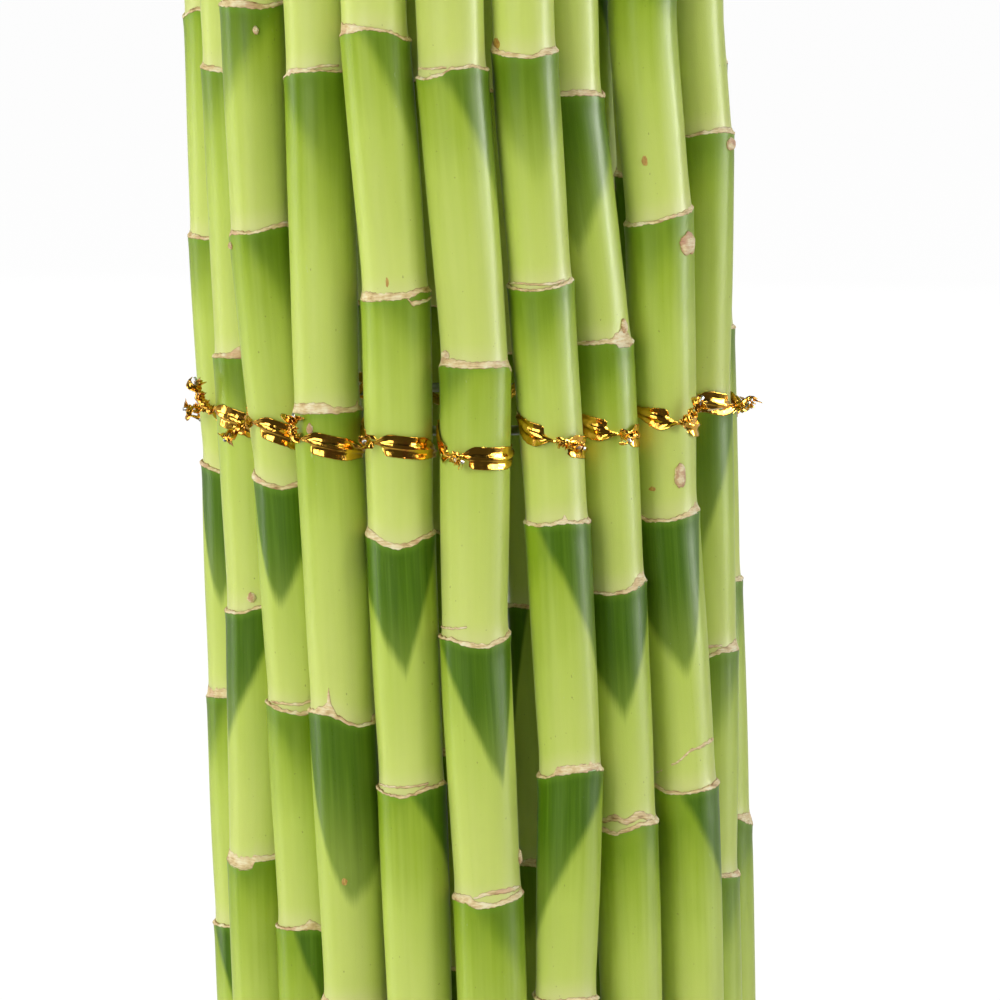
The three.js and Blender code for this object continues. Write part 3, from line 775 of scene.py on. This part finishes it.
def grow_cane(number):
    """One cane: its skin, the scar of each knuckle, its buds and its cut ends."""
    node_name = f"cane_{number:02d}"
    rings = cad_rings(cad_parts[node_name])
    foot, crown = rings[0][0], rings[-1][0]
    radius = rings[0][2]
    knuckles = [ring[0] for ring in knuckle_rings(rings)]
    bounds = [foot, *knuckles, crown]
    axis = cane_axis(rings, number)
    draw = random.Random(number * 17)
    in_photo = FRONT_MARKS.get(number, [])
    marks = []
    for height in knuckles:
        seen = [mark for mark in in_photo if abs(mark[0] - height) < 3]
        drawn = own_marks(draw, height)
        marks.append(seen[0] if seen else drawn)
    tones = [draw.random() for _ in range(len(knuckles) + 1)]
    first = next((i for i, mark in enumerate(marks) if mark in in_photo), 0)
    for step, tone in enumerate(TONES.get(number, [])):
        tones[first + step] = tone

    bm = bmesh.new()
    floats = {name: bm.verts.layers.float.new(name)
              for name in ("below", "above", "wedge", "darkness", "tone", "rind", "inward")}
    place = bm.verts.layers.float_vector.new("place")
    spin_round(bm, cane_profile(radius, foot, crown, knuckles), CANE_COLUMNS, False)

    lines = {}
    for vertex in bm.verts:
        x, y, height = vertex.co
        reach = math.hypot(x, y)
        bearing = round(bearing_of(x, y), 1) if reach > 0.01 else 0.0
        if bearing not in lines:
            lines[bearing] = ([around(mark[1], bearing, 1) + CREST for mark in marks],
                              [wedge_depth(mark[2], bearing) for mark in marks])
        crests, depths = lines[bearing]
        index = next((i for i, level in enumerate(knuckles) if height <= level + 0.001), len(knuckles))
        low, high = bounds[index], bounds[index + 1]
        under_crest = crests[index] if index < len(knuckles) else 0
        over_crest = crests[index - 1] if index else 0
        below_now, above_now = high - height, height - low
        moved = height
        moved += under_crest * (1 - ease(below_now, 1.5, 9))
        moved += over_crest * (1 - ease(above_now, 1.5, 9))
        if abs(reach - radius) < 0.02:
            wide = skin_radius(radius, below_now, above_now, high - low)
            if index == len(knuckles):
                wide = skin_radius(radius, 40, above_now, 45)
            if index == 0:
                wide = skin_radius(radius, below_now, 40, 45)
            wide += noise.noise(Vector((x * 0.35, y * 0.35, height * 0.05 + number * 9))) * 0.09
            vertex.co.x, vertex.co.y = x / reach * wide, y / reach * wide
        vertex[floats["rind"]] = reach / radius
        vertex[floats["below"]] = high - moved + under_crest if index < len(knuckles) else FAR
        vertex[floats["above"]] = moved - low - over_crest if index else FAR
        vertex[floats["tone"]] = tones[index]
        if index < len(knuckles):
            vertex[floats["wedge"]] = depths[index] - (high + under_crest - moved)
            vertex[floats["darkness"]] = marks[index][2][4]
        else:
            vertex[floats["wedge"]] = -8
        vertex.co.z = moved
        middle = axis[round(height * AXIS_STEPS)]
        vertex[place] = (vertex.co.x, vertex.co.y, moved + number * GRAIN_STEP)
        vertex.co.x += middle.x
        vertex.co.y += middle.y
    for face in bm.faces:
        height = face.calc_center_median().z
        face.material_index = PITH if height < foot + 0.08 or height > crown - 0.25 else SKIN

    for knuckle, (_, scar, _, *second_lines) in zip(knuckles, marks):
        lay_scar(bm, number, radius, axis, knuckle, scar, scar, True)
        for line in second_lines:
            lay_scar(bm, number, radius, axis, knuckle, scar, line, False)
    for bud in BUDS.get(number, []):
        index = next((i for i, level in enumerate(knuckles) if bud[0] <= level), len(knuckles))
        low, high = bounds[index], bounds[index + 1]
        raise_bud(bm, number, axis, skin_radius(radius, high - bud[0], bud[0] - low, high - low), bud)
    make_piece(bm, f"bamboo_{node_name}", node_name, [skin, scar_tissue, cut_pith, brown_spot])


for number in range(1, 21):
    grow_cane(number)

# ---- Hoop ----
# A ring of plain galvanised wire inside the canes, bent round and butted. The ties pull every cane to it.
WIRE_RADIUS = 0.8
hoop_centre = hoop_middle / MM
hoop_radius = (hoop_high.x - hoop_low.x) / MM / 2 - WIRE_RADIUS

galvanised, nodes, links = new_material("galvanised_wire")
calc, ranged, mixed, read, grain, ramped, bumped, paint = node_maker(galvanised)
object_place = nodes.new("ShaderNodeTexCoord").outputs["Object"]
bloom = grain(object_place, 700, 3)
colour = ramped(bloom, [(0.35, (0.3, 0.3, 0.28)), (0.65, (0.55, 0.55, 0.52))])
paint({"Base Color": colour, "Metallic": 1, "Roughness": ranged(bloom, 0.3, 0.7, 0.28, 0.5),
       "Normal": bumped(bloom, 0.15, 0.0002)})

bm = bmesh.new()
wire_round = bmesh.ops.create_circle(bm, segments=20, radius=WIRE_RADIUS)["verts"]
bmesh.ops.rotate(bm, verts=wire_round, cent=(0, 0, 0), matrix=Matrix.Rotation(math.pi / 2, 3, "X"))
bmesh.ops.translate(bm, verts=wire_round, vec=(hoop_radius, 0, 0))
bmesh.ops.spin(bm, geom=[*bm.verts, *bm.edges], axis=(0, 0, 1), cent=(0, 0, 0), dvec=(0, 0, 0),
               angle=2 * math.pi, steps=180, use_merge=True, use_duplicate=False)
bmesh.ops.translate(bm, verts=bm.verts, vec=hoop_centre)
make_piece(bm, "wire_hoop", "inner_hoop", [galvanised])

# ---- Twist ties ----
# Florist's tie: gold metallised film 4 mm wide, folded over one fine steel wire that stands up along its
# middle. Each goes round its cane and the hoop, and its two ends are twisted into a short pigtail.
RIBBON_HALF = 1.75
# The gap between two stations along a ribbon, in mm.
STATION_GAP = 0.4
# The height of each tie on its cane, in mm.
TIE_HEIGHTS = [139.5, 139, 139, 138, 138.5, 137, 139.5, 140, 141, 143, 141,
               139, 140, 138, 138.5, 141.5, 136, 139, 138, 139.5]
# The bearing of each knot as the viewer sees it, how far its ribbon falls per mm to the right, and where its
# pigtail ends: to the right, towards the viewer and up, in mm from the knot.
FRONT_KNOTS = {
    1: (-38, 0.35, (-3.6, 2.2, -0.3)),
    2: (-80, 0.33, (-3.0, 1.6, 5.0)),
    3: (-54, 0.35, (-4.0, 1.8, -2.6)),
    4: (-52, 0.22, (-1.0, 1.2, 3.6)),
    5: (-46, 0.12, (-1.2, 2.4, 0.4)),
    6: (-31, 0.06, (0.8, 2.2, -0.6)),
    7: (12, 0.3, (3.8, 1.8, -0.8)),
    8: (25, 0.22, (1.2, 2.3, -0.7)),
    9: (28, 0.24, (3.0, 1.8, 4.0)),
    10: (78, 0.25, (2.2, 1.2, 0.4)),
    11: (70, 0.2, (2.2, 1.0, 1.4)),
}

foil, nodes, links = new_material("gold_foil")
calc, ranged, mixed, read, grain, ramped, bumped, paint = node_maker(foil)
object_place = nodes.new("ShaderNodeTexCoord").outputs["Object"]
rumple = grain(object_place, 900, 2)
worn = ranged(grain(object_place, 350, 4), 0.56, 0.7)
colour = mixed(worn, (0.9, 0.5, 0.075, 1), (0.86, 0.36, 0.07, 1))
paint({"Base Color": colour, "Metallic": 1, "Roughness": ranged(rumple, 0.3, 0.75, 0.1, 0.24),
       "Normal": bumped(rumple, 0.25, 0.0003)})

wire_end, nodes, links = new_material("wire_end")
calc, ranged, mixed, read, grain, ramped, bumped, paint = node_maker(wire_end)
object_place = nodes.new("ShaderNodeTexCoord").outputs["Object"]
colour = ramped(grain(object_place, 2000, 2), [(0.35, (0.4, 0.4, 0.4)), (0.65, (0.75, 0.75, 0.73))])
paint({"Base Color": colour, "Metallic": 1, "Roughness": 0.35})


def foil_strip(bm, stations, crumple, seed):
    """A strip of folded foil along stations of (middle, across, outwards, half width), 0.14 mm thick."""
    strip = bmesh.new()
    bmesh.ops.create_grid(strip, x_segments=len(stations) - 1, y_segments=12, size=0.5)
    for vertex in strip.verts:
        middle, across, outwards, half = stations[round((vertex.co.x + 0.5) * (len(stations) - 1))]
        v = vertex.co.y * 2
        along = (vertex.co.x + 0.5) * len(stations) * 0.4
        ridge = 0.34 * math.exp(-(v / 0.15) ** 2) - 0.16 * (1 - abs(2 * abs(v) - 1))
        creases = abs(noise.noise(Vector((along * 0.9, v * 1.1, seed)))) - 0.18
        fine = noise.noise(Vector((along * 2.6, v * 2.2, seed + 40)))
        lift = ridge * min(1, half / 1.2) + crumple * (0.6 * creases + 0.16 * fine)
        edge = 1 + 0.05 * crumple * noise.noise(Vector((along * 1.7, math.copysign(3, v), seed)))
        vertex.co = middle + across * (v * half * edge) + outwards * lift
    bmesh.ops.solidify(strip, geom=strip.faces, thickness=0.14)
    pour_in(bm, strip)


def smoothed(corners, steps):
    """A smooth line through all corners but the first and the last, which only steer it."""
    line = []
    for before, start, end, after in zip(corners, corners[1:], corners[2:], corners[3:]):
        for step in range(steps):
            t = step / steps
            bend = (2 * before - 5 * start + 4 * end - after) * t * t
            line.append(0.5 * (2 * start + (end - before) * t + bend
                               + (3 * start - before - 3 * end + after) * t ** 3))
    return [*line, corners[-2]]


def set_out(line, gap):
    """Points at an even gap along a line."""
    spaced, left = [line[0]], gap
    for start, end in zip(line, line[1:]):
        length = (end - start).length
        while left <= length:
            spaced.append(start.lerp(end, left / length))
            left += gap
        left -= length
    return spaced


def wind_tie(number):
    """One tie: the ribbon round its cane and the hoop, and the pigtail of its two ends."""
    node_name = f"twist_tie_{number:02d}"
    rings = cad_rings(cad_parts[f"cane_{number:02d}"])
    draw = random.Random(number * 31 + 5)
    height = TIE_HEIGHTS[number - 1]
    middle = cane_axis(rings, number)[round(height * AXIS_STEPS)]
    inward = hoop_centre.xy - middle
    depth = inward.length - hoop_radius
    outward = (-inward).normalized()
    facing = bearing_of(outward.x, outward.y)
    drawn = (facing + draw.uniform(-60, 60), draw.uniform(-0.2, 0.3), None)
    knot_bearing, fall, pigtail = FRONT_KNOTS.get(number, drawn)
    reach = rings[0][2] + 0.5
    side = Vector((-outward.y, outward.x))
    points = []
    for turn in range(-104, 105, 8):
        angle = math.radians(turn)
        pinch = ease(abs(angle), 0.3 * math.pi, 0.58 * math.pi)
        offset = outward * math.cos(angle) * reach + side * math.sin(angle) * reach
        rise = -math.copysign(2.2, angle) * pinch * 0.75 + (hoop_centre.z - height) * pinch - fall * offset.x
        points.append((*offset, rise, RIBBON_HALF * (1 - 0.55 * pinch)))
    behind = depth + WIRE_RADIUS + 0.55
    for out, across, over in ((-behind * 0.62, 3.2, -2.2), (-behind, 1.9, -1.8), (-behind - 0.2, 0, 0),
                              (-behind, -1.9, 1.8), (-behind * 0.62, -3.2, 2.2)):
        offset = outward * out + side * across
        points.append((*offset, over + hoop_centre.z - height, 0.8))
    places = [Vector(point[:3]) for point in points]
    spaced = set_out(smoothed([places[-1], *places, *places[:2]], 12), STATION_GAP)

    def off_knot(index):
        """How many degrees a point is from the knot's bearing, or more where it is behind the cane."""
        turned = abs((bearing_of(*spaced[index].xy) - knot_bearing + 180) % 360 - 180)
        return turned + (60 if spaced[index].xy.dot(outward) < -1 else 0)

    knot_at = min(range(len(spaced)), key=off_knot)
    spaced = spaced[knot_at:] + spaced[:knot_at]
    stations = []
    for index, spot in enumerate(spaced):
        ahead, behind_spot = spaced[(index + 1) % len(spaced)], spaced[index - 1]
        heading = (ahead - behind_spot).normalized()
        nearest = min(range(len(places)), key=lambda i: (places[i] - spot).length)
        half = points[nearest][3]
        from_knot = min(index, len(spaced) - 1 - index) * STATION_GAP
        roll = 0.3 * noise.noise(Vector((index * 0.04, number * 5, 0)))
        roll += (1 - ease(from_knot, 0, 3)) * (1.3 if index < len(spaced) / 2 else -1.3)
        half *= 0.32 + 0.68 * ease(from_knot, 0.3, 3.2)
        outwards = Vector((spot.x, spot.y, 0)).normalized()
        if spot.xy.dot(outward) < -reach * 0.3:
            beside = spot.xy.dot(side)
            inner = 0.4 if abs(beside) > 2.5 else 1.4
            outwards = Vector((*(side * math.copysign(0.7, beside) - outward * inner), 0)).normalized()
        across = heading.cross(outwards).normalized()
        outwards = across.cross(heading).normalized()
        turned = Matrix.Rotation(roll, 3, heading)
        base = Vector((middle.x, middle.y, height)) + spot
        stations.append([base, turned @ across, turned @ outwards, half])
    for before, station in zip(stations[1:], stations[2:]):
        if station[1].dot(before[1]) < 0:
            station[1], station[2] = -station[1], -station[2]
    bm = bmesh.new()
    foil_strip(bm, stations, 0.3, number * 3)

    knot = stations[0][0]
    away = Vector((math.sin(math.radians(knot_bearing)), -math.cos(math.radians(knot_bearing)), 0))
    if pigtail is None:
        pigtail = away * draw.uniform(2, 3.5) + Vector((0, 0, draw.uniform(-2.5, 3.5)))
    else:
        pigtail = Vector((pigtail[0], -pigtail[1], pigtail[2]))
    start = knot + away * 0.35
    bend = start + away * 1.2 + pigtail * 0.25
    end = knot + pigtail * 1.05
    length = (bend - start).length + (end - bend).length
    count = max(12, round(length / 0.18))
    for strand in (0, math.pi):
        twisted = []
        for step in range(count + 1):
            t = step / count
            spine = start.lerp(bend, t).lerp(bend.lerp(end, t), t)
            heading = ((bend - start) * (1 - t) + (end - bend) * t).normalized()
            aside = heading.cross(Vector((0.2, 0.3, 0.93))).normalized()
            up = aside.cross(heading)
            turn = strand + t * length * 1.9
            flare = ease(t, 0.72, 1)
            offset = aside * math.cos(turn) + up * math.sin(turn)
            width = 0.62 + 0.18 * noise.noise(Vector((t * 9, strand, number))) + 0.75 * flare
            lean = offset.cross(heading)
            twisted.append((spine + offset * (0.42 + 0.5 * flare), lean.lerp(offset, 0.35).normalized(),
                            offset, width))
        foil_strip(bm, twisted, 0.7, number * 3 + strand + 1)
    foil_faces = len(bm.faces)
    cone = bmesh.ops.create_cone(bm, cap_ends=True, segments=10, radius1=0.32, radius2=0.26, depth=1.6)
    tip = cone["verts"]
    bmesh.ops.rotate(bm, verts=tip, cent=(0, 0, 0), matrix=(end - bend).to_track_quat("Z", "Y").to_matrix())
    bmesh.ops.translate(bm, verts=tip, vec=end - (end - bend).normalized() * 0.4)
    bm.faces.ensure_lookup_table()
    for face in bm.faces[foil_faces:]:
        face.material_index = 1
    make_piece(bm, f"foil_{node_name}", node_name, [foil, wire_end])


for number in range(1, 21):
    wind_tie(number)

# ---- Leafy shoots ----
# A young shoot on the top knuckle of every second cane: a short green stem hidden in the sheaths of its
# leaves, which are long, thin and glossy, folded a little along the midrib and veined lengthwise.
SHOOT_HEIGHT = 46
SHOOT_RADIUS = 2.6
# For each leaf: how far up the stem it leaves, its bearing from straight out of the ring, how steeply it
# sets off, how far it droops by its tip (degrees), and its length and width (mm).
LEAVES = [
    (0.3, -19, 44, 62, 80, 13), (0.42, 20, 52, 58, 86, 14), (0.6, -2, 62, 60, 90, 14),
    (0.76, 180, 76, 24, 74, 12), (0.94, 0, 84, 20, 62, 11),
]

leaf_skin, nodes, links = new_material("leaf_skin")
calc, ranged, mixed, read, grain, ramped, bumped, paint = node_maker(leaf_skin)
blade = read("blade", True)
veins = grain(blade, 1, 3, (26, 0.5, 1))
patches = grain(blade, 1, 3, (2, 5, 1), (5, 5, 0))
tint = calc("ADD", calc("MULTIPLY", veins, 0.6), calc("MULTIPLY", patches, 0.4))
colour = ramped(tint, [(0.3, (0.045, 0.17, 0.012)), (0.5, (0.085, 0.26, 0.02)), (0.72, (0.16, 0.37, 0.045))])
middle_vein = ranged(read("rib"), 0.03, 0.14, 0.75, 0)
colour = mixed(middle_vein, colour, (0.3, 0.5, 0.09, 1))
colour = mixed(ranged(read("sheath"), 0, 1, 0, 0.9, False), colour, (0.42, 0.57, 0.14, 1))
paint({"Base Color": colour, "Roughness": ranged(veins, 0.3, 0.7, 0.25, 0.42),
       "Normal": bumped(veins, 0.35, 0.0003), "Subsurface Weight": 0.1,
       "Subsurface Radius": (0.6, 1, 0.2), "Subsurface Scale": 0.001})

vary_seed = 20


def vary():
    """A repeatable draw between -1 and 1, the same as the solids use."""
    global vary_seed
    vary_seed = vary_seed * 16807 % 2147483647
    return vary_seed / 2147483647 * 2 - 1


def stem_point(path, along):
    """The point of a smooth path at a share of its length, and the direction there."""
    at = along * (len(path) - 1)
    index = min(int(at), len(path) - 2)
    return path[index].lerp(path[index + 1], at - index), (path[index + 1] - path[index]).normalized()


def grow_shoot(number):
    """One shoot: its stem, and each leaf with the sheath that wraps the stem under it."""
    node_name = f"leafy_shoot_{number:02d}"
    rings = cad_rings(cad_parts[f"cane_{number:02d}"])
    bud = knuckle_rings(rings)[-1]
    outward = Vector((*(bud[1] - hoop_centre.xy).normalized(), 0))
    seat = rings[0][2] + 0.35 + 0.3
    root = Vector((bud[1].x, bud[1].y, bud[0]))
    corners = [root + outward * (seat + out) + Vector((0, 0, up))
               for out, up in ((0, 2), (1.6, 2), (4.4, 5), (5.4, 12), (5.6, 27), (7, SHOOT_HEIGHT))]
    line = smoothed([corners[0] * 2 - corners[1], *corners, corners[-1] * 2 - corners[-2]], 16)
    total = sum((end - start).length for start, end in zip(line, line[1:]))
    path = [*set_out(line, total / 80), line[-1]]

    bm = bmesh.new()
    blade = bm.verts.layers.float_vector.new("blade")
    rib = bm.verts.layers.float.new("rib")
    sheath = bm.verts.layers.float.new("sheath")
    side = Vector((0, 0, 1)).cross(outward)
    stem_rings = 48
    bmesh.ops.create_cone(bm, cap_ends=False, segments=28, radius1=1, radius2=1, depth=1)
    uprights = [edge for edge in bm.edges if abs(edge.verts[0].co.z - edge.verts[1].co.z) > 0.5]
    bmesh.ops.subdivide_edges(bm, edges=uprights, cuts=stem_rings - 1, use_grid_fill=False)
    bmesh.ops.holes_fill(bm, edges=bm.edges, sides=0)
    for vertex in bm.verts:
        along = vertex.co.z + 0.5
        middle, heading = stem_point(path, along)
        normal = heading.cross(side).normalized()
        round_by = math.atan2(vertex.co.y, vertex.co.x)
        swell = sum(0.09 * (1 - ease(along - leaf[0], -0.01, 0.012)) for leaf in LEAVES)
        wide = SHOOT_RADIUS * (1.0 - 0.62 * along + swell * 0.7 - 0.12)
        if along < 0.06:
            wide *= 0.72 + 0.28 * ease(along, 0, 0.05)
        vertex[blade] = (round_by * 2, along * 6, number)
        vertex[rib] = 1
        vertex[sheath] = 0.8 - 0.5 * along
        vertex.co = middle + side * math.cos(round_by) * wide + normal * math.sin(round_by) * wide

    for leaf_index, (at, turn, steep, droop, length, width) in enumerate(LEAVES):
        turn += 4 * vary()
        steep += 6 * vary()
        droop += 10 * vary()
        length *= 0.95 + 0.12 * vary()
        heading = Matrix.Rotation(math.radians(turn), 3, "Z") @ outward
        aside = Vector((0, 0, 1)).cross(heading)
        point = stem_point(path, at)[0] - heading * 1.3
        spine, samples = [], 56
        for step in range(samples + 1):
            t = step / samples
            slope = math.radians(steep - droop * t)
            if step:
                middle_slope = math.radians(steep - droop * (t - 0.5 / samples))
                ahead = heading * math.cos(middle_slope) + Vector((0, 0, math.sin(middle_slope)))
                point = point + ahead * (length / samples * 0.985)
            normal = Vector((0, 0, math.cos(slope))) - heading * math.sin(slope)
            spine.append((point.copy(), normal))
        leaf = bmesh.new()
        leaf_blade = leaf.verts.layers.float_vector.new("blade")
        leaf_rib = leaf.verts.layers.float.new("rib")
        leaf_sheath = leaf.verts.layers.float.new("sheath")
        bmesh.ops.create_grid(leaf, x_segments=samples, y_segments=12, size=0.5)
        for vertex in leaf.verts:
            t, v = vertex.co.x + 0.5, vertex.co.y * 2
            middle, normal = spine[round(t * samples)]
            half = width * (0.1 + 0.4 * ease(t, 0.02, 0.42) - 0.5 * ease(t, 0.42, 1.02)) if t < 1 else 0
            half = max(0.12, half) * 0.97
            wave = 0.25 * noise.noise(Vector((t * 4, math.copysign(2, v), number + leaf_index * 7))) * abs(v)
            fold = abs(v) ** 1.3 * half * 0.32 + wave * min(1, half / 3) - 0.22 * math.exp(-(v / 0.09) ** 2)
            clasp = 1 - ease(t, 0, 0.09)
            vertex[leaf_blade] = (v * half * 0.14, t * length * 0.1, number * 10 + leaf_index)
            vertex[leaf_rib] = abs(v)
            vertex[leaf_sheath] = 1 - ease(t, 0, 0.16)
            vertex.co = middle + aside * (v * half) + normal * (fold - 0.1 + clasp * abs(v) * 0.7)
        bmesh.ops.solidify(leaf, geom=leaf.faces, thickness=0.32)
        pour_in(bm, leaf)
    make_piece(bm, f"bamboo_{node_name}", node_name, [leaf_skin])


for number in range(1, 20, 2):
    grow_shoot(number)
